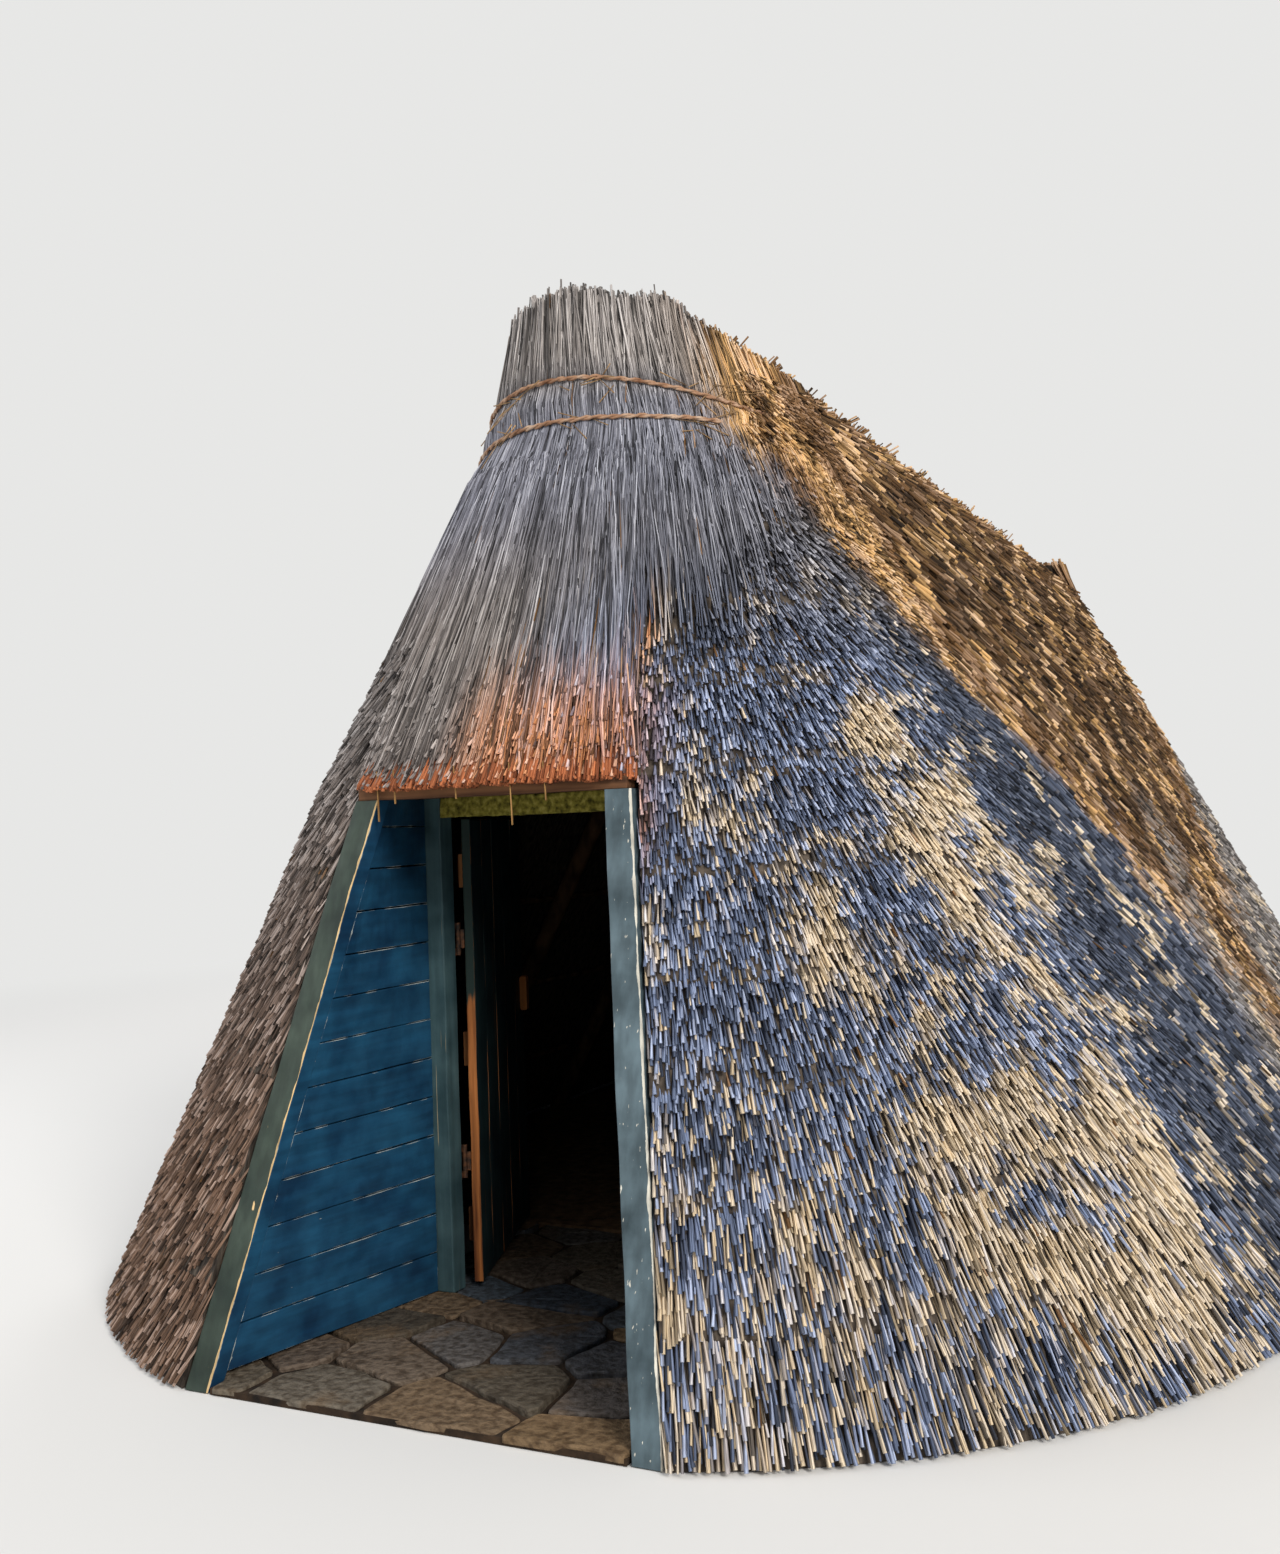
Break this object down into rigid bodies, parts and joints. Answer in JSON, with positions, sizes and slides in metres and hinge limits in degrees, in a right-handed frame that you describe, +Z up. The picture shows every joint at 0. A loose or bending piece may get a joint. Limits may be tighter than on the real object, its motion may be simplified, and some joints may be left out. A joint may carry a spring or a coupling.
{
  "type": "rondavel hut",
  "caption": "Thatched hut whose roof reaches the ground on all sides, with rounded hips, tied straw heads, a straw ridge roll and a splayed board-lined entrance with a door that opens inward",
  "frame": {"origin": "on the ground, under the centre of the whole hut's box", "axes": "+Z up. The door faces -Y and the ridge runs along Y, so the longest extent lies along Y and the width along X. +X is the right side of someone who faces the door, and the door hangs on the left jamb, at -X."},
  "size_m": [4.12, 9.23, 3.36],
  "materials": {
    "thatch": "weathered grey-brown straw thatch, matt",
    "new_thatch": "newer golden-brown straw, matt",
    "withy": "reddish-brown twisted withy, matt",
    "pole_wood": "round poles and bare boards, smoke-darkened, matt",
    "grey_paint": "weathered blue-grey paint on wood, matt",
    "blue_paint": "worn deep teal-blue paint on boards, matt",
    "mossy_wood": "old wood covered with olive moss, matt",
    "stone": "flat grey-brown field stones, matt",
    "earth": "beaten earth, matt",
    "iron": "forged iron, dark and rusted",
    "handle_wood": "orange-brown wood, satin from use"
  },
  "bodies": {
    "hut": {"thatch_over_door": "new_thatch", "thatch_front_left": "thatch", "thatch_front_right": "thatch", "thatch_corner_left": "thatch", "thatch_corner_right": "thatch", "thatch_side_left": "thatch", "thatch_side_right": "thatch", "thatch_rear_left": "thatch", "thatch_rear_mid_left": "thatch", "thatch_rear_mid_right": "thatch", "thatch_rear_right": "thatch", "thatch_head_front": "thatch", "thatch_head_rear": "thatch", "ridge_roll": "new_thatch", "tie_bands_front": "withy", "tie_bands_rear": "withy", "ridge_pole": "pole_wood", "rafters_left": "pole_wood", "rafters_right": "pole_wood", "rafters_front": "pole_wood", "rafters_rear": "pole_wood", "laths_left": "pole_wood", "laths_right": "pole_wood", "laths_front": "pole_wood", "laths_rear": "pole_wood", "door_post_left": "grey_paint", "door_post_right": "grey_paint", "cheek_boards_left": "blue_paint", "cheek_boards_right": "blue_paint", "jamb_left": "grey_paint", "jamb_right": "grey_paint", "door_head": "mossy_wood", "lintel_beam": "pole_wood", "recess_ceiling": "pole_wood", "stone_paving": "stone", "earth_floor": "earth", "hinge_brackets": "iron"},
    "door": {"door_boards": "blue_paint", "door_ledges": "pole_wood", "door_brace": "pole_wood", "hinge_straps": "iron", "door_handle": "handle_wood"}
  },
  "joints": [
    {"name": "door_hinge", "type": "hinge", "parent": "hut", "child": "door", "pos_m": [-0.427, -3.636, 0], "axis": [0, 0, 1], "range_deg": [-110, 8]}
  ]
}
